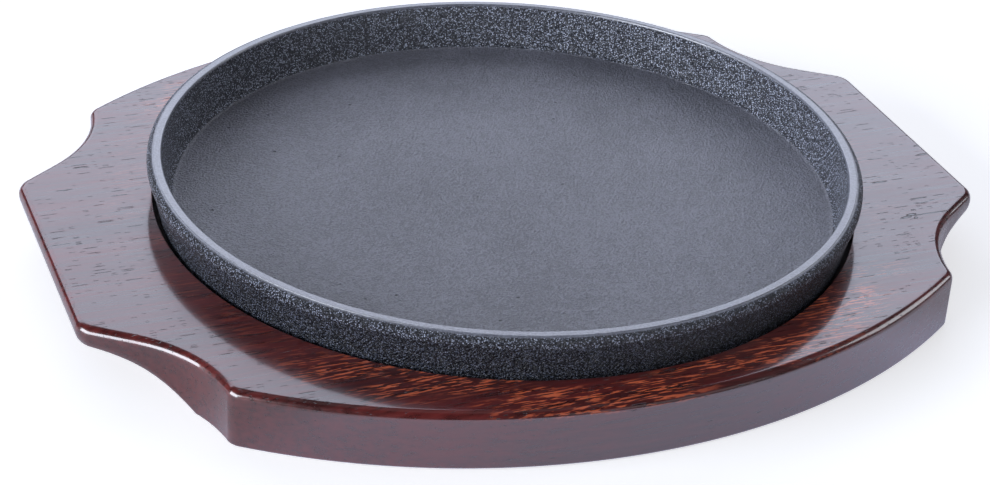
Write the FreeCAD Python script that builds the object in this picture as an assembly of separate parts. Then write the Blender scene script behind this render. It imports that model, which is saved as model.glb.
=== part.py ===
import FreeCAD, Part
import math
import os

# Round cast-iron sizzle plate that rests in the turned recess of a wooden underliner board.
# Millimetres. The origin is the middle of the board's underside, +Z is up, and +X runs along
# the board and its grain.

# Wooden board
board_length = 287.0          # over the two straight ends
board_width = 245.0           # over the crowns of the two bowed sides
board_thickness = 18.0
end_width = 86.0              # straight end, taken to where its corners would be sharp
side_span = 223.0             # bowed side, from one corner to the other
side_bow = 36.8               # how far a bowed side stands out beyond its corners
notch_turn = 16.65            # degrees that a notch's lead turns in from the line between its corners
notch_lead = 16.4             # straight run from the end before the notch's hollow arc begins
end_corner_radius = 7.0
side_corner_radius = 2.6
top_round = 2.0               # edge of the top face
bottom_bevel = 1.0            # edge of the underside
grip_reach = 27.0             # finger hollow under each end, in from the end
grip_lip = 7.0                # wood that stays above the finger hollow at the end

# Recess that holds the plate
recess_depth = 6.0
seat_clearance = 1.2          # gap round the plate at the board's top face

# Cast plate
plate_diameter = 220.0        # over the rolled rim
plate_height = 20.0
floor_thickness = 5.0
floor_fillet = 2.5            # where the wall meets the floor inside
foot_bevel = 2.4              # where the wall meets the underside
outer_draft = 11.0            # degrees, outside of the wall
inner_draft = 8.5             # degrees, inside of the wall
rim_width = 4.4               # from the inner edge of the rim to the outside of its bead
rim_land = 2.4                # smooth flat top of the rim
rim_inner_bevel = 0.4         # inner edge of the land
land_step = 0.35              # the bead starts this far below the land
bead_height = 3.6             # from the land down to the bead's lower edge
bead_round = 2.2              # upper outside of the bead
bead_under_bevel = 0.7        # lower outside of the bead

plate_radius = plate_diameter / 2
recess_floor = board_thickness - recess_depth
tiny = 0.01


def at(x, y, z=0.0):
    return FreeCAD.Vector(x, y, z)


def line(a, b):
    return Part.LineSegment(a, b).toShape()


def arc(a, middle, b):
    return Part.Arc(a, middle, b).toShape()


def joined(points):
    """Straight edges from each point to the next."""
    return [line(a, b) for a, b in zip(points, points[1:])]


def bearing(start, point):
    """Direction from one point to another in the plane z = 0, in degrees."""
    return math.degrees(math.atan2(point.y - start.y, point.x - start.x))


def bowed_side(corner, crown):
    """The arc over the whole +Y side, from its right corner over the crown to its left corner."""
    return arc(corner, crown, at(-corner.x, corner.y))


def notch(end_corner, side_corner):
    """The straight lead from the end's corner and the hollow arc that it runs into.

    The arc is tangent to the lead and ends at the side's corner.
    """
    turn = math.radians(bearing(end_corner, side_corner) + notch_turn)
    lead = at(math.cos(turn), math.sin(turn))
    outward = at(math.sin(turn), -math.cos(turn))
    tangent_point = end_corner + lead * notch_lead
    chord = side_corner - tangent_point
    radius = chord.dot(chord) / (2 * chord.dot(outward))
    centre = tangent_point + outward * radius
    to_chord = tangent_point + chord * 0.5 - centre
    middle = centre + to_chord * (radius / to_chord.Length)
    return [line(end_corner, tangent_point), arc(tangent_point, middle, side_corner)]


def mirrored(edges, normal):
    return [edge.mirror(at(0, 0), normal) for edge in edges]


def board_outline():
    end_corner = at(board_length / 2, end_width / 2)
    side_corner = at(side_span / 2, board_width / 2 - side_bow)
    crown = at(0, board_width / 2)
    right_notches = notch(end_corner, side_corner)
    right_notches = right_notches + mirrored(right_notches, at(0, 1))
    edges = [line(at(end_corner.x, -end_corner.y), end_corner)]
    edges += right_notches + [bowed_side(side_corner, crown)]
    edges += mirrored(right_notches, at(1, 0)) + mirrored(edges[:1], at(1, 0))
    edges += mirrored([bowed_side(side_corner, crown)], at(0, 1))
    return Part.Wire(Part.__sortEdges__(edges))


def upright_edges(solid, x):
    """The vertical edges at a given distance from the middle along the board."""
    found = []
    for edge in solid.Edges:
        first, last = edge.Vertexes[0], edge.Vertexes[-1]
        upright = abs(first.X - last.X) < tiny and abs(first.Y - last.Y) < tiny
        if upright and abs(first.Z - last.Z) > tiny and abs(abs(first.X) - x) < tiny:
            found.append(edge)
    return found


def finger_hollow(side):
    """The long round cutter under one end. It runs level where it meets the end."""
    rise = board_thickness - grip_lip
    radius = (grip_reach ** 2 + rise ** 2) / (2 * rise)
    cutter = Part.makeCylinder(radius, 2 * board_width, at(0, -board_width), at(0, 1))
    cutter.translate(at(side * board_length / 2, 0, rise - radius))
    return cutter


def level_edges(solid, z):
    """The edges round the face at one height."""
    return [edge for edge in solid.Edges if all(abs(v.Z - z) < tiny for v in edge.Vertexes)]


def wall_radius(height):
    """Outside radius of the plate's wall at a height above the plate's underside."""
    bead_foot = plate_height - bead_height
    top = plate_radius - bead_under_bevel
    return top - (bead_foot - height) * math.tan(math.radians(outer_draft))


def plate_recess():
    radius = wall_radius(recess_depth) + seat_clearance
    return Part.makeCylinder(radius, recess_depth, at(0, 0, recess_floor))


def wood_underliner():
    board = Part.Face(board_outline()).extrude(at(0, 0, board_thickness))
    board = board.makeFillet(end_corner_radius, upright_edges(board, board_length / 2))
    board = board.makeFillet(side_corner_radius, upright_edges(board, side_span / 2))
    board = board.makeChamfer(bottom_bevel, level_edges(board, 0))
    board = board.makeFillet(top_round, level_edges(board, board_thickness))
    board = board.cut(finger_hollow(1)).cut(finger_hollow(-1))
    return board.cut(plate_recess())


def section_arc(centre, radius, start, stop):
    """An arc of the plate's section, in the plane y = 0, between two angles in degrees."""
    points = []
    for degrees in (start, (start + stop) / 2, stop):
        turn = math.radians(degrees)
        points.append(centre + at(math.cos(turn), 0, math.sin(turn)) * radius)
    return points


def plate_section():
    """Half section of the cast plate, from its axis along the underside, up the wall and back in."""
    rim_inner = plate_radius - rim_width
    bead_foot = plate_height - bead_height
    bead_top = plate_height - land_step
    land_end = rim_inner + rim_land
    inner_slope = math.tan(math.radians(inner_draft))

    # bead: an arc from the foot of the step to the outermost line, which is on the plate's diameter
    bead_centre_radius = plate_radius - bead_round
    bead_start = math.degrees(math.acos((land_end - bead_centre_radius) / bead_round))
    bead_rise = bead_round * math.sin(math.radians(bead_start))
    bead_centre = at(bead_centre_radius, 0, bead_top - bead_rise)
    bead = section_arc(bead_centre, bead_round, 0, bead_start)

    # floor: arc tangent to the inner wall and the floor
    floor_radius = rim_inner - (plate_height - floor_thickness) * inner_slope
    fillet_reach = floor_fillet * math.tan(math.radians(90 - inner_draft) / 2)
    fillet_centre = at(floor_radius - fillet_reach, 0, floor_thickness + floor_fillet)
    fillet = section_arc(fillet_centre, floor_fillet, -inner_draft, -90)

    underside = [at(0, 0), at(wall_radius(0) - foot_bevel, 0), at(wall_radius(foot_bevel), 0, foot_bevel)]
    bead_side = [at(wall_radius(bead_foot), 0, bead_foot), at(plate_radius, 0, bead_foot + bead_under_bevel)]
    land_edge = at(land_end, 0, plate_height)
    lip_foot = at(rim_inner - rim_inner_bevel * inner_slope, 0, plate_height - rim_inner_bevel)
    lip = [at(rim_inner + rim_inner_bevel, 0, plate_height), lip_foot]
    inside = [fillet[2], at(0, 0, floor_thickness), at(0, 0)]
    path = joined(underside + bead_side + [bead[0]]) + [arc(*bead)]
    path += joined([bead[2], land_edge] + lip + [fillet[0]]) + [arc(*fillet)] + joined(inside)
    return Part.Wire(path)


def sizzle_plate():
    plate = Part.Face(plate_section()).revolve(at(0, 0), at(0, 0, 1), 360)
    plate.translate(at(0, 0, recess_floor))
    return plate


os.makedirs("parts", exist_ok=True)
for name, shape in (("wood_underliner", wood_underliner()), ("sizzle_plate", sizzle_plate())):
    shape.exportStep("parts/" + name + ".step")
    box = shape.optimalBoundingBox(False)
    size = [round(length, 2) for length in (box.XLength, box.YLength, box.ZLength)]
    print(name, shape.isValid(), len(shape.Solids), "solid, volume", round(shape.Volume), "size", size)
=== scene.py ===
import bpy, bmesh, math
from mathutils import Matrix, Vector


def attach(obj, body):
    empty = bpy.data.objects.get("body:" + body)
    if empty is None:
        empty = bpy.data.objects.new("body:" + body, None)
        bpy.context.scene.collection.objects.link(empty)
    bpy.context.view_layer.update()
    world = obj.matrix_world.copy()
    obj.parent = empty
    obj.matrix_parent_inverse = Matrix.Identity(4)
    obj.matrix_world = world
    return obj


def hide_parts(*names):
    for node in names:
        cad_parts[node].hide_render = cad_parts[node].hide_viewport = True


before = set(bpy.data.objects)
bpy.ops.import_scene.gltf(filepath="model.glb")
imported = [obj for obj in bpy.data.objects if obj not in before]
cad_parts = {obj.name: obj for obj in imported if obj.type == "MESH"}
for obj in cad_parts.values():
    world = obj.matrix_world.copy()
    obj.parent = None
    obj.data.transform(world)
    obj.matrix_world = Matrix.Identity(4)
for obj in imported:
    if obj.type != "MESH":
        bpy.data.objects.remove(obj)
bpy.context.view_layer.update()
print("frame loaded")

# smaller than any real distance in the part, in metres
tiny = 1e-6
# a face looks up when its normal rises by more than this
upward = 0.99
shading = {"weldGap": 1e-5, "holeSides": 6, "sharpFrom": math.radians(35), "evenWeight": 80}


def newPiece(name, bm, material, nodeName):
    bmesh.ops.remove_doubles(bm, verts=bm.verts, dist=shading["weldGap"])
    bmesh.ops.holes_fill(bm, edges=[e for e in bm.edges if e.is_boundary], sides=shading["holeSides"])
    bmesh.ops.recalc_face_normals(bm, faces=bm.faces)
    for face in bm.faces:
        face.smooth = True
    for edge in bm.edges:
        edge.smooth = edge.calc_face_angle(0) < shading["sharpFrom"]
    mesh = bpy.data.meshes.new(name)
    bm.to_mesh(mesh)
    bm.free()
    piece = bpy.data.objects.new(name, mesh)
    bpy.context.scene.collection.objects.link(piece)
    mesh.materials.append(material)
    even = piece.modifiers.new("evenShading", "WEIGHTED_NORMAL")
    even.weight = shading["evenWeight"]
    even.keep_sharp = True
    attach(piece, "root")
    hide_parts(nodeName)
    return piece


def roundEdges(bm, edges, size, segments):
    return bmesh.ops.bevel(bm, geom=edges, offset=size, offset_type="OFFSET", affect="EDGES",
                           segments=segments, profile=0.5, material=-1, clamp_overlap=False,
                           loop_slide=True)


def roundCorner(bm, vertex, radius, segments):
    # rounds an open outline at one vertex with an arc of the given radius
    ways = [(edge.other_vert(vertex).co - vertex.co).normalized() for edge in vertex.link_edges]
    bend = math.pi - ways[0].angle(ways[1])
    bmesh.ops.bevel(bm, geom=[vertex], offset=radius * math.tan(bend / 2), offset_type="OFFSET",
                    affect="VERTICES", segments=segments, profile=0.5, material=-1, clamp_overlap=False)


class finishNodes:
    # shorthands for the nodes of one finish
    def __init__(self, name):
        self.material = bpy.data.materials.new(name)
        self.material.use_nodes = True
        self.nodes = self.material.node_tree.nodes
        self.links = self.material.node_tree.links
        self.shader = self.nodes["Principled BSDF"]
        self.place = self.nodes.new("ShaderNodeTexCoord").outputs["Object"]

    def put(self, kind, inputs=None, **settings):
        node = self.nodes.new(kind)
        for key, value in settings.items():
            setattr(node, key, value)
        for key, value in (inputs or {}).items():
            if isinstance(value, bpy.types.NodeSocket):
                self.links.new(value, node.inputs[key])
            else:
                node.inputs[key].default_value = value
        return node

    def stretched(self, scale, turn=0.0, shift=(0, 0, 0)):
        return self.put("ShaderNodeMapping", {"Vector": self.place, "Scale": scale, "Location": shift,
                                              "Rotation": (0, 0, turn)}).outputs[0]

    def noise(self, vector, scale=1.0, detail=2.0, roughness=0.5):
        return self.put("ShaderNodeTexNoise", {"Vector": vector, "Scale": scale, "Detail": detail,
                                               "Roughness": roughness}).outputs["Fac"]

    def ramp(self, value, low, high, outLow=0.0, outHigh=1.0):
        return self.put("ShaderNodeMapRange", {"Value": value, "From Min": low, "From Max": high,
                                               "To Min": outLow, "To Max": outHigh},
                        interpolation_type="SMOOTHSTEP").outputs["Result"]

    def math(self, operation, a, b=0.0):
        return self.put("ShaderNodeMath", {0: a, 1: b}, operation=operation).outputs[0]

    def most(self, *values):
        top = values[0]
        for value in values[1:]:
            top = self.math("MAXIMUM", top, value)
        return top

    def times(self, a, b):
        return self.math("MULTIPLY", a, b)

    def less(self, a, b):
        return self.math("SUBTRACT", a, b)

    def blend(self, *shares):
        # sum of value and weight pairs
        total = 0.0
        for value, weight in shares:
            total = self.put("ShaderNodeMath", {0: value, 1: weight, 2: total},
                             operation="MULTIPLY_ADD").outputs[0]
        return total

    def colour(self, fac, a, b):
        mix = self.put("ShaderNodeMix", data_type="RGBA")
        for index, value in ((0, fac), (6, a), (7, b)):
            if isinstance(value, bpy.types.NodeSocket):
                self.links.new(value, mix.inputs[index])
            else:
                mix.inputs[index].default_value = value
        return mix.outputs[2]

    def value(self, fac, a, b):
        return self.put("ShaderNodeMix", {0: fac, 2: a, 3: b}).outputs[0]

    def bump(self, height, distance, strength=1.0, over=None):
        inputs = {"Height": height, "Distance": distance, "Strength": strength}
        if over is not None:
            inputs["Normal"] = over
        return self.put("ShaderNodeBump", inputs).outputs[0]

    def coordinate(self, axis):
        return self.put("ShaderNodeSeparateXYZ", {"Vector": self.place}).outputs[axis]

    def length(self, vector):
        return self.put("ShaderNodeVectorMath", {0: vector}, operation="LENGTH").outputs["Value"]

    def heightAndRadius(self):
        xyz = self.put("ShaderNodeSeparateXYZ", {"Vector": self.place}).outputs
        flat = self.put("ShaderNodeCombineXYZ", {"X": xyz["X"], "Y": xyz["Y"]}).outputs[0]
        return xyz["Z"], self.length(flat)

    def cells(self, vector, scale=1.0):
        # distance to the nearest cell's middle and one random number for each cell
        near = self.put("ShaderNodeTexVoronoi", {"Vector": vector, "Scale": scale}, feature="F1")
        lot = self.put("ShaderNodeSeparateColor", {"Color": near.outputs["Color"]}).outputs[0]
        return near.outputs["Distance"], lot

    def join(self, socket, name):
        self.links.new(socket, self.shader.inputs[name])


wood = {
    "deep": (0.042, 0.0036, 0.0036, 1), "mid": (0.165, 0.0140, 0.0115, 1),
    "wisp": (0.90, 0.185, 0.070, 1),
    "poreColour": (0.010, 0.0025, 0.0030, 1), "bareColour": (0.030, 0.012, 0.010, 1),
    "roughness": (0.26, 0.38), "bareRoughness": 0.7,
    "ior": 1.55, "coatIor": 1.75, "coatRoughness": 0.10,
    # where the top face, the recess and the crowns begin: two heights or distances in metres
    "topFrom": (0.0150, 0.0172), "nearRecess": (0.132, 0.116), "crowns": (0.068, 0.090),
    "bareWall": (0.1090, 0.1088), "bareBelow": (0.01755, 0.0173), "bareAbove": (0.0115, 0.0119),
    # shares of a pattern that show on the sides of the board, and away from its crowns; the sides' smaller
    # share of the paler tone is painted shade
    "paintedSideShade": 0.45, "sidePores": 0.10, "crownless": 0.14,
    # repeats a metre along the grain, across it and up
    "figure": (7, 60, 60), "streaks": (40, 700, 700), "wisps": (170, 1400, 1400),
    "patches": (26, 100, 100), "clusters": (12, 85, 85), "ripple": (14, 45, 45),
    # ranges of the noises that each pattern goes from nothing to full over
    "toneRange": (0.34, 0.66), "patchRange": (0.46, 0.60), "wispRange": (0.52, 0.60),
    "clusterRange": (0.36, 0.72, 0.35, 1.3), "roughRange": (0.3, 0.7),
    # open pores: repeats a metre, size in cells, share of cells that carry one
    "pores": ((130, 2300, 2300), 0.38, 0.038), "finePores": ((330, 3300, 3300), 0.36, 0.050),
    "poreCore": 0.55,
    "rippleRelief": (0.0002, 0.3), "poreRelief": (0.00016, 0.8), "grainRelief": 0.0003,
    # knot, end cracks and longer pores: x, y, half length, half width in mm
    "marks": ((142.4, -3.0, 1.2, 0.30), (142.0, -10.4, 1.8, 0.38), (140.8, -16.3, 3.4, 0.42),
              (116.2, -50.8, 1.6, 0.50), (114.0, -51.8, 1.6, 0.40), (116.8, -53.0, 0.6, 0.60),
              (123.0, -51.5, 5.0, 0.20), (114.4, -76.2, 0.9, 0.50), (117.0, -29.2, 2.2, 0.30),
              (123.7, -42.0, 3.0, 0.25)),
    "markEdge": (1.3, 0.7), "markWobble": 1.2,
}


def openPores(t, setting, gathered):
    stretch, size, share = setting
    distance, lot = t.cells(t.stretched(stretch))
    inside = t.ramp(distance, size, size * wood["poreCore"])
    return t.times(inside, t.math("LESS_THAN", lot, t.times(gathered, 2 * share)))


def woodMarks(t, wobble):
    found = 0.0
    for x, y, halfLength, halfWidth in wood["marks"]:
        scale = (1000 / halfLength, 1000 / halfWidth, 0)
        away = t.length(t.stretched(scale, shift=(-x / halfLength, -y / halfWidth, 0)))
        found = t.most(t.ramp(t.math("ADD", away, wobble), *wood["markEdge"]), found)
    return found


def lacqueredWood():
    t = finishNodes("lacqueredWood")
    height, radius = t.heightAndRadius()
    onTop = t.ramp(height, *wood["topFrom"])
    figure = t.noise(t.stretched(wood["figure"], turn=0.03), detail=3, roughness=0.55)
    streaks = t.noise(t.stretched(wood["streaks"]), detail=3, roughness=0.6)
    tone = t.ramp(t.blend((figure, 0.45), (streaks, 0.55)), *wood["toneRange"])
    # painted shade: the sides take less of the paler tone, so they are darker than the top
    colour = t.colour(t.times(tone, t.value(onTop, wood["paintedSideShade"], 1.0)), wood["deep"], wood["mid"])
    # orange wisps gather in patches, mostly between the recess and the crowns
    nearRecess = t.ramp(radius, *wood["nearRecess"])
    patches = t.noise(t.stretched(wood["patches"], turn=0.06))
    patches = t.ramp(t.blend((patches, 1.0), (nearRecess, 0.10)), *wood["patchRange"])
    wisps = t.noise(t.stretched(wood["wisps"], turn=0.04), roughness=0.6)
    wisps = t.ramp(wisps, *wood["wispRange"])
    crowns = t.ramp(t.math("ABSOLUTE", t.coordinate("Y")), *wood["crowns"], wood["crownless"])
    shown = t.times(t.times(wisps, patches), t.value(onTop, 0.0, t.times(nearRecess, crowns)))
    colour = t.colour(shown, colour, wood["wisp"])
    # the pores gather in clusters, and few of them open on the sides
    gathered = t.ramp(t.noise(t.stretched(wood["clusters"])), *wood["clusterRange"])
    gathered = t.times(gathered, t.value(onTop, wood["sidePores"], 1.0))
    wobble = t.times(t.less(streaks, 0.5), wood["markWobble"])
    marks = t.times(woodMarks(t, wobble), onTop)
    pores = t.most(openPores(t, wood["pores"], gathered), openPores(t, wood["finePores"], gathered), marks)
    colour = t.colour(pores, colour, wood["poreColour"])
    # the turned recess has no lacquer
    bare = t.times(t.ramp(radius, *wood["bareWall"]), t.ramp(height, *wood["bareBelow"]))
    bare = t.times(bare, t.ramp(height, *wood["bareAbove"]))
    t.join(t.colour(bare, colour, wood["bareColour"]), "Base Color")
    rough = t.ramp(streaks, *wood["roughRange"], *wood["roughness"])
    t.join(t.most(rough, t.times(bare, wood["bareRoughness"])), "Roughness")
    t.join(t.less(1.0, bare), "Coat Weight")
    sockets = t.shader.inputs
    sockets["IOR"].default_value = wood["ior"]
    sockets["Coat IOR"].default_value = wood["coatIor"]
    sockets["Coat Roughness"].default_value = wood["coatRoughness"]
    dents = t.less(1.0, pores)
    skin = t.bump(t.noise(t.stretched(wood["ripple"])), *wood["rippleRelief"])
    t.join(t.bump(dents, *wood["poreRelief"], skin), "Coat Normal")
    t.join(t.bump(dents, wood["grainRelief"]), "Normal")
    return t.material


iron = {
    "floorDark": (0.092, 0.093, 0.118, 1), "floorPale": (0.245, 0.246, 0.305, 1),
    # painted light and shade on the walls: grey inside between the specks, near black outside; the near black
    # is also the pits' own colour
    "pitsAndShadedWall": (0.006, 0.007, 0.012, 1), "litWallGrey": (0.020, 0.022, 0.034, 1),
    "paintedGlint": (0.72, 0.78, 0.96, 1), "paintedDimGlint": (0.16, 0.18, 0.25, 1),
    "landDark": (0.085, 0.090, 0.118, 1), "landPale": (0.215, 0.225, 0.280, 1),
    "ior": 1.45, "filmIor": 2.4, "filmRoughness": 0.28, "wallFilm": 0.40, "shadedOuterFilm": 0.12,
    "floorRoughness": (0.36, 0.46), "wallRoughness": 0.24, "landRoughness": 0.36,
    # where each zone begins: two heights or radii in metres
    "aboveFloor": (0.01705, 0.0174), "outside": (0.1056, 0.1060),
    "landFrom": (0.0311, 0.0315), "landWithin": (0.1089, 0.1081),
    "beadFrom": (0.0285, 0.0290), "beadGlintShare": 0.5,
    # repeats a metre
    "pebbles": 2300, "rough": 1100, "floorGrain": 1500, "speckle": 1500, "mottle": 330, "cloud": 30,
    "pits": 210,
    # a painted glint's edge in cells, and the range of chances that it shows over
    "glintEdge": (0.62, 0.30), "glintChance": (0.30, 0.95), "pitEdge": (0.14, 0.06), "pitShare": 0.10,
    "floorTones": (0.42, 0.58), "landTones": (0.36, 0.62), "roughTones": (0.3, 0.7),
    "floorRelief": 0.0009, "landRelief": 0.15, "wallRelief": 0.0004,
}


def castIron():
    t = finishNodes("castIron")
    height, radius = t.heightAndRadius()
    # pebbled walls and bead, finer floor, smooth land on the rim
    aboveFloor = t.ramp(height, *iron["aboveFloor"])
    outside = t.ramp(radius, *iron["outside"])
    land = t.times(t.ramp(height, *iron["landFrom"]), t.ramp(radius, *iron["landWithin"]))
    notLand = t.less(1.0, land)
    wall = t.times(t.most(aboveFloor, outside), notLand)

    away, chance = t.cells(t.place, iron["pebbles"])
    pebbles = t.less(1.0, t.times(away, away))
    paintedGlints = t.times(t.ramp(away, *iron["glintEdge"]), t.ramp(chance, *iron["glintChance"]))
    coarse = t.noise(t.place, iron["rough"])
    grain = t.noise(t.place, iron["floorGrain"], roughness=0.6)
    speckle = t.noise(t.place, iron["speckle"], roughness=0.6)
    mottle = t.noise(t.place, iron["mottle"], detail=4, roughness=0.7)
    cloud = t.noise(t.place, iron["cloud"], detail=3)
    distance, lot = t.cells(t.place, iron["pits"])
    pits = t.times(t.ramp(distance, *iron["pitEdge"]), t.math("LESS_THAN", lot, iron["pitShare"]))

    tone = t.blend((mottle, 0.22), (cloud, 0.16), (speckle, 0.62))
    floorColour = t.colour(t.ramp(tone, *iron["floorTones"]), iron["floorDark"], iron["floorPale"])
    floorColour = t.colour(pits, floorColour, iron["pitsAndShadedWall"])
    # painted light: the bright specks stand in for glints on the pebbles, dimmer outside as painted shade,
    # though less so on the bead, which is painted as lit
    dimmed = t.times(outside, t.ramp(height, *iron["beadFrom"], 1.0, iron["beadGlintShare"]))
    glintColour = t.colour(dimmed, iron["paintedGlint"], iron["paintedDimGlint"])
    betweenGlints = t.colour(outside, iron["litWallGrey"], iron["pitsAndShadedWall"])
    wallColour = t.colour(paintedGlints, betweenGlints, glintColour)
    colour = t.colour(wall, floorColour, wallColour)
    landColour = t.colour(t.ramp(tone, *iron["landTones"]), iron["landDark"], iron["landPale"])
    t.join(t.colour(land, colour, landColour), "Base Color")
    floorRough = t.ramp(mottle, *iron["roughTones"], *iron["floorRoughness"])
    rough = t.value(wall, floorRough, iron["wallRoughness"])
    t.join(t.value(land, rough, iron["landRoughness"]), "Roughness")
    # painted shade: the seasoning film is made thinner on the walls, most of all outside, which dims their
    # reflections
    film = t.value(wall, 1.0, iron["wallFilm"])
    t.join(t.value(t.times(outside, notLand), film, iron["shadedOuterFilm"]), "Coat Weight")
    t.shader.inputs["IOR"].default_value = iron["ior"]
    t.shader.inputs["Coat IOR"].default_value = iron["filmIor"]
    t.shader.inputs["Coat Roughness"].default_value = iron["filmRoughness"]

    floorHeight = t.blend((grain, 1.0), (pits, -1.2))
    floorNormal = t.bump(floorHeight, iron["floorRelief"], t.value(land, 1.0, iron["landRelief"]))
    wallHeight = t.blend((coarse, 0.5), (pebbles, 1.0))
    normal = t.bump(wallHeight, iron["wallRelief"], wall, floorNormal)
    t.join(normal, "Normal")
    t.join(normal, "Coat Normal")
    return t.material


board = {
    "length": 0.287, "width": 0.2449996, "thickness": 0.018,
    "endWidth": 0.086, "sideSpan": 0.223, "sideBow": 0.0368,
    "notchTurn": math.radians(16.65), "notchLead": 0.0164,
    "endCorner": 0.007, "sideCorner": 0.005, "topRound": 0.0025, "bottomRound": 0.001,
    "gripReach": 0.027, "gripLip": 0.007,
    "recessRadius": 0.10848, "recessDepth": 0.006, "mouthRound": 0.0004,
    # widths of the rings round the underside, and the round of the finger hollows' rims
    "lipRings": (0.00115, 0.0004, 0.0005, 0.0007), "lipRound": 0.0034, "lipFade": 0.016,
    "lipShare": 0.96,
    "notchSteps": 12, "sideSteps": 34, "hollowSteps": 13, "cornerSteps": 9, "bottomSteps": 3,
    "topSteps": 6, "recessSteps": 160, "mouthSteps": 3,
}


def onWire(bm, start, centre, angle, steps):
    # continues the outline from a vertex along an arc and gives back its last vertex
    made = bmesh.ops.spin(bm, geom=[start], cent=centre, axis=(0, 0, 1), angle=angle, steps=steps)
    return [item for item in made["geom_last"] if isinstance(item, bmesh.types.BMVert)][0]


def boardOutline(bm):
    b = board
    endCorner = Vector((b["length"] / 2, b["endWidth"] / 2, 0))
    sideCorner = Vector((b["sideSpan"] / 2, b["width"] / 2 - b["sideBow"], 0))
    across = sideCorner - endCorner
    turn = math.atan2(across.y, across.x) + b["notchTurn"]
    lead = Vector((math.cos(turn), math.sin(turn), 0))
    outward = Vector((math.sin(turn), -math.cos(turn), 0))
    tangent = endCorner + lead * b["notchLead"]
    chord = sideCorner - tangent
    radius = chord.length_squared / (2 * chord.dot(outward))
    centre = tangent + outward * radius
    sweep = 2 * math.asin(chord.length / 2 / radius)
    # the bowed side is one arc through the corner and the crown
    half, bow = b["sideSpan"] / 2, b["sideBow"]
    sideRadius = (half ** 2 + bow ** 2) / (2 * bow)
    sideCentre = Vector((0, b["width"] / 2 - sideRadius, 0))
    sideSweep = math.asin(half / sideRadius)

    middle = bm.verts.new((b["length"] / 2, 0, 0))
    corner = bm.verts.new(endCorner)
    start = bm.verts.new(tangent)
    bm.edges.new((middle, corner))
    bm.edges.new((corner, start))
    side = onWire(bm, start, centre, -sweep, b["notchSteps"])
    onWire(bm, side, sideCentre, sideSweep, b["sideSteps"])
    bmesh.ops.remove_doubles(bm, verts=bm.verts, dist=tiny / 10)

    for point, size in ((endCorner, b["endCorner"]), (sideCorner, b["sideCorner"])):
        vertex = min(bm.verts, key=lambda v: (v.co - point).length)
        roundCorner(bm, vertex, size, b["cornerSteps"])
    for axis in ("X", "Y"):
        geom = list(bm.verts) + list(bm.edges)
        bmesh.ops.mirror(bm, geom=geom, matrix=Matrix.Identity(4), merge_dist=tiny, axis=axis)
        bmesh.ops.remove_doubles(bm, verts=bm.verts, dist=tiny)


def hollowHeight(x):
    # underside of the finger hollow at a distance from the middle
    rise = board["thickness"] - board["gripLip"]
    radius = (board["gripReach"] ** 2 + rise ** 2) / (2 * rise)
    across = board["length"] / 2 - abs(x)
    return max(0.0, rise - radius + math.sqrt(max(radius ** 2 - across ** 2, 0)))


def lipRise(x, inward):
    # the hollow's rim is rounded over, most of all at the ends
    b = board
    share = 1 - min(inward / sum(b["lipRings"]), 1)
    fade = min(max((abs(x) - b["length"] / 2 + b["gripReach"]) / b["lipFade"], 0), 1)
    return b["lipRound"] * (1 - math.sqrt(1 - share ** 2 * b["lipShare"])) * fade * fade * (3 - 2 * fade)


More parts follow.
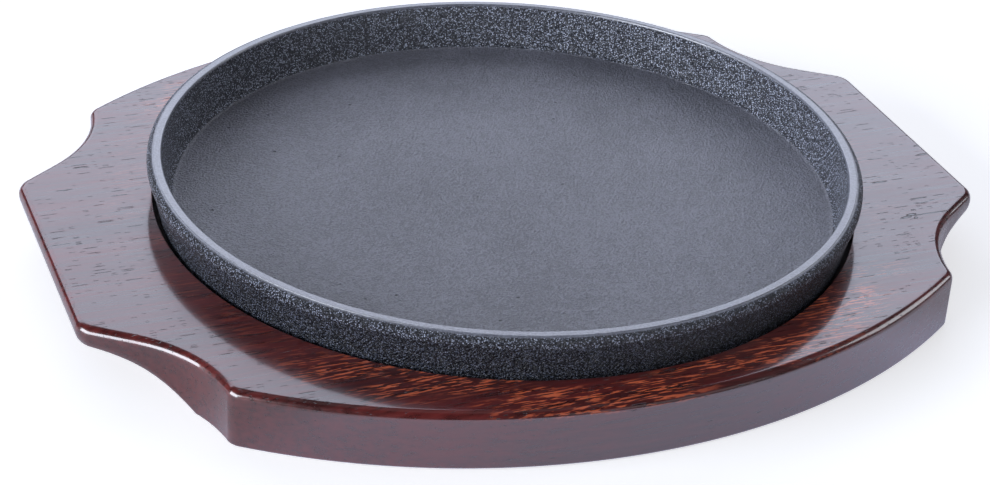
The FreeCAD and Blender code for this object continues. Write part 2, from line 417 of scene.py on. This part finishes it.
def makeBoard(material):
    b = board
    bm = bmesh.new()
    boardOutline(bm)
    bottom = bmesh.ops.contextual_create(bm, geom=list(bm.edges))["faces"][0]
    grown = bmesh.ops.extrude_face_region(bm, geom=[bottom])["geom"]
    raised = [v for v in grown if isinstance(v, bmesh.types.BMVert)]
    bmesh.ops.translate(bm, vec=(0, 0, b["thickness"]), verts=raised)
    bmesh.ops.recalc_face_normals(bm, faces=bm.faces)

    # rings round the underside, each with its distance from the edge
    inward = bm.verts.layers.float.new("inward")
    under = min(bm.faces, key=lambda f: f.normal.z)
    for step in b["lipRings"]:
        reached = under.verts[0][inward] + step
        bmesh.ops.inset_region(bm, faces=[under], thickness=step, use_even_offset=True)
        for vertex in under.verts:
            vertex[inward] = reached

    def rimOf(test):
        return [e for e in bm.edges if len(e.link_faces) == 2 and test(e)]
    lower = rimOf(lambda e: all(v.co.z < tiny for v in e.verts)
                  and any(f.normal.z > -upward for f in e.link_faces))
    roundEdges(bm, lower, b["bottomRound"], b["bottomSteps"])
    for vertex in bm.verts:
        rise = max(1 - vertex.co.z / b["bottomRound"], 0)
        if vertex[inward] < tiny:
            vertex[inward] = b["bottomRound"] * (1 - math.sqrt(max(1 - rise ** 2, 0)))

    # cut the ends into strips, so that the underside can rise into the finger hollows
    start = b["length"] / 2 - b["gripReach"]
    for step in range(b["hollowSteps"]):
        x = start + b["gripReach"] * (step / b["hollowSteps"])
        for side in (-1, 1):
            geom = list(bm.verts) + list(bm.edges) + list(bm.faces)
            bmesh.ops.bisect_plane(bm, geom=geom, dist=tiny / 10, plane_co=(side * x, 0, 0), plane_no=(1, 0, 0))
    for vertex in bm.verts:
        if vertex.co.z < b["bottomRound"] + tiny:
            vertex.co.z += hollowHeight(vertex.co.x) + lipRise(vertex.co.x, vertex[inward])
    top = [f for f in bm.faces if f.normal.z > upward]
    bmesh.ops.dissolve_faces(bm, faces=top)

    upper = rimOf(lambda e: all(v.co.z > b["thickness"] - tiny for v in e.verts))
    roundEdges(bm, upper, b["topRound"], b["topSteps"])

    # open the top and let the recess in
    top = max(bm.faces, key=lambda f: f.calc_area() if f.normal.z > upward else 0)
    rim = list(top.edges)
    bmesh.ops.delete(bm, geom=[top], context="FACES_ONLY")
    level = Matrix.Translation((0, 0, b["thickness"]))
    ring = bmesh.ops.create_circle(bm, cap_ends=False, segments=b["recessSteps"],
                                   radius=b["recessRadius"], matrix=level)["verts"]
    inner = list(dict.fromkeys(e for v in ring for e in v.link_edges))
    bmesh.ops.triangle_fill(bm, use_beauty=True, use_dissolve=False, edges=rim + inner)
    down = bmesh.ops.extrude_edge_only(bm, edges=inner)["geom"]
    low = [v for v in down if isinstance(v, bmesh.types.BMVert)]
    bmesh.ops.translate(bm, vec=(0, 0, -b["recessDepth"]), verts=low)
    foot = [e for e in down if isinstance(e, bmesh.types.BMEdge) and all(v in low for v in e.verts)]
    bmesh.ops.contextual_create(bm, geom=foot)
    mouth = dict.fromkeys(e for v in ring for e in v.link_edges if e.other_vert(v) in ring)
    roundEdges(bm, list(mouth), b["mouthRound"], b["mouthSteps"])
    return newPiece("underlinerBoard", bm, material, "wood_underliner")


plate = {
    "radius": 0.110, "height": 0.020, "seat": 0.012, "floor": 0.005,
    "outerDraft": math.radians(11), "innerDraft": math.radians(8.5),
    "rimWidth": 0.0044, "rimLand": 0.0024, "landStep": 0.00035, "landFall": 0.0001,
    "beadHeight": 0.0036,
    "rounds": {"foot": 0.0022, "beadFoot": 0.0005, "beadUnder": 0.0007, "bead": 0.0019,
               "stepFoot": 0.0001, "stepEdge": 0.00016, "lip": 0.0005, "fillet": 0.0024},
    "roundSteps": 7, "smallRound": 0.0003, "smallSteps": 3, "steps": 288,
}


def makePlate(material):
    p = plate
    rounds = p["rounds"]
    beadFoot = p["height"] - p["beadHeight"]
    wallTop = p["radius"] - rounds["beadUnder"]
    slope = math.tan(p["outerDraft"])
    rimInner = p["radius"] - p["rimWidth"]
    landEnd = rimInner + p["rimLand"]
    beadTop = p["height"] - p["landStep"]
    landHeight = p["height"] - p["landFall"]
    floorRadius = rimInner - (p["height"] - p["floor"]) * math.tan(p["innerDraft"])
    corners = [
        (0, 0, None), (wallTop - beadFoot * slope, 0, "foot"), (wallTop, beadFoot, "beadFoot"),
        (p["radius"], beadFoot, "beadUnder"), (p["radius"], beadTop, "bead"),
        (landEnd, beadTop, "stepFoot"), (landEnd, landHeight, "stepEdge"),
        (rimInner, p["height"], "lip"), (floorRadius, p["floor"], "fillet"), (0, p["floor"], None),
    ]
    bm = bmesh.new()
    verts = [bm.verts.new((r, 0, z + p["seat"])) for r, z, name in corners]
    for first, last in zip(verts, verts[1:]):
        bm.edges.new((first, last))
    for vertex, (r, z, name) in zip(verts, corners):
        if name is not None:
            segments = p["roundSteps"] if rounds[name] > p["smallRound"] else p["smallSteps"]
            roundCorner(bm, vertex, rounds[name], segments)
    bmesh.ops.spin(bm, geom=list(bm.verts) + list(bm.edges), cent=(0, 0, 0), axis=(0, 0, 1),
                   angle=2 * math.pi, steps=p["steps"], use_merge=True)
    return newPiece("castPlate", bm, material, "sizzle_plate")


boardPiece = makeBoard(lacqueredWood())
print("board made", len(boardPiece.data.polygons))
platePiece = makePlate(castIron())
print("plate made", len(platePiece.data.polygons))


studio = {
    "floorColour": (0.80, 0.805, 0.83, 1), "floorSize": 12, "floorDrop": 0.0001,
    # what the camera sees of the floor, and what the lacquer mirrors of it
    "glow": (0.58, 0.58, 0.58, 1), "mirroredGlow": (0.44, 0.45, 0.64, 1),
    # painted shade on the mirrored floor past the board's ends: its glow, and the distances where it begins
    "paintedShadeGlow": (0.09, 0.08, 0.11, 1), "paintedShadeFrom": (0.094, 0.130),
    "worldColour": (0.84, 0.88, 1.0, 1), "worldStrength": 0.17, "worldMirrored": 0.05,
    "aim": (0, 0, 0.02),
    # place, width, height, radiance, colour
    "lamps": {
        "backBox": ((0.35, 2.1, 1.25), 3.6, 1.5, 1.95, (0.75, 0.80, 0.97)),
        "leftBox": ((-2.15, -0.4, 0.62), 2.0, 1.15, 8.5, (0.86, 0.91, 1.0)),
        "rightBox": ((1.8, -0.25, 0.85), 1.0, 0.8, 2.8, (0.90, 0.93, 1.0)),
        "topBox": ((0.05, 0.15, 2.2), 1.5, 1.3, 0.12, (0.92, 0.95, 1.0)),
        "frontBox": ((0.9, -2.0, 0.75), 1.6, 0.8, 0.4, (0.90, 0.93, 1.0)),
    },
}


def makeFloor():
    bm = bmesh.new()
    bmesh.ops.create_grid(bm, x_segments=1, y_segments=1, size=studio["floorSize"],
                          matrix=Matrix.Translation((0, 0, -studio["floorDrop"])))
    mesh = bpy.data.meshes.new("floor")
    bm.to_mesh(mesh)
    bm.free()
    floor = bpy.data.objects.new("floor", mesh)
    bpy.context.scene.collection.objects.link(floor)
    t = finishNodes("paleFloor")
    sockets = t.shader.inputs
    sockets["Base Color"].default_value = studio["floorColour"]
    sockets["Roughness"].default_value = 1.0
    sockets["Specular IOR Level"].default_value = 0.0
    rays = t.nodes.new("ShaderNodeLightPath").outputs
    # painted shade: the floor that the lacquer mirrors is darker past the board's ends, in place of the board's
    # shadow there
    paintedShade = t.ramp(t.math("ABSOLUTE", t.coordinate("X")), *studio["paintedShadeFrom"])
    mirrored = t.colour(paintedShade, studio["mirroredGlow"], studio["paintedShadeGlow"])
    t.join(t.colour(rays["Is Glossy Ray"], studio["glow"], mirrored), "Emission Color")
    t.join(t.most(rays["Is Camera Ray"], rays["Is Glossy Ray"]), "Emission Strength")
    mesh.materials.append(t.material)


def makeWorld():
    world = bpy.data.worlds.new("paleStudio")
    bpy.context.scene.world = world
    world.use_nodes = True
    nodes, links = world.node_tree.nodes, world.node_tree.links
    soft = nodes["Background"]
    soft.inputs["Color"].default_value = studio["worldColour"]
    white = nodes.new("ShaderNodeBackground")
    white.inputs["Color"].default_value = (1, 1, 1, 1)
    white.inputs["Strength"].default_value = 1.0
    rays = nodes.new("ShaderNodeLightPath").outputs
    # white for the camera, soft light for the rest and dimmer still in reflections
    mix = nodes.new("ShaderNodeMixShader")
    links.new(rays["Is Camera Ray"], mix.inputs[0])
    dim = nodes.new("ShaderNodeMath")
    dim.operation = "MULTIPLY_ADD"
    links.new(rays["Is Glossy Ray"], dim.inputs[0])
    dim.inputs[1].default_value = studio["worldMirrored"] - studio["worldStrength"]
    dim.inputs[2].default_value = studio["worldStrength"]
    links.new(dim.outputs[0], soft.inputs["Strength"])
    links.new(soft.outputs[0], mix.inputs[1])
    links.new(white.outputs[0], mix.inputs[2])
    links.new(mix.outputs[0], nodes["World Output"].inputs["Surface"])


def makeLamps():
    for name, (place, width, height, radiance, colour) in studio["lamps"].items():
        lamp = bpy.data.lights.new(name, "AREA")
        lamp.shape = "RECTANGLE"
        lamp.size, lamp.size_y = width, height
        lamp.energy = radiance * width * height * math.pi
        lamp.color = colour
        holder = bpy.data.objects.new(name, lamp)
        bpy.context.scene.collection.objects.link(holder)
        holder.location = place
        towards = Vector(studio["aim"]) - Vector(place)
        holder.rotation_euler = towards.to_track_quat("-Z", "Y").to_euler()


view = {
    "lens": 86.44, "sensor": 36, "nearest": 0.01, "place": (-0.24982, -0.59933, 0.37496),
    "yaw": math.radians(-22.470), "down": math.radians(30.146), "roll": math.radians(3.321),
}


def makeCamera():
    data = bpy.data.cameras.new("photoView")
    data.lens = view["lens"]
    data.sensor_width = view["sensor"]
    data.clip_start = view["nearest"]
    camera = bpy.data.objects.new("photoView", data)
    bpy.context.scene.collection.objects.link(camera)
    pitch = math.pi / 2 - view["down"]
    turn = (Matrix.Rotation(view["yaw"], 4, "Z") @ Matrix.Rotation(pitch, 4, "X")
            @ Matrix.Rotation(view["roll"], 4, "Z"))
    camera.matrix_world = Matrix.Translation(view["place"]) @ turn
    bpy.context.scene.camera = camera


makeFloor()
makeWorld()
makeLamps()
makeCamera()
bpy.context.scene.view_settings.view_transform = "Standard"
print("studio made")
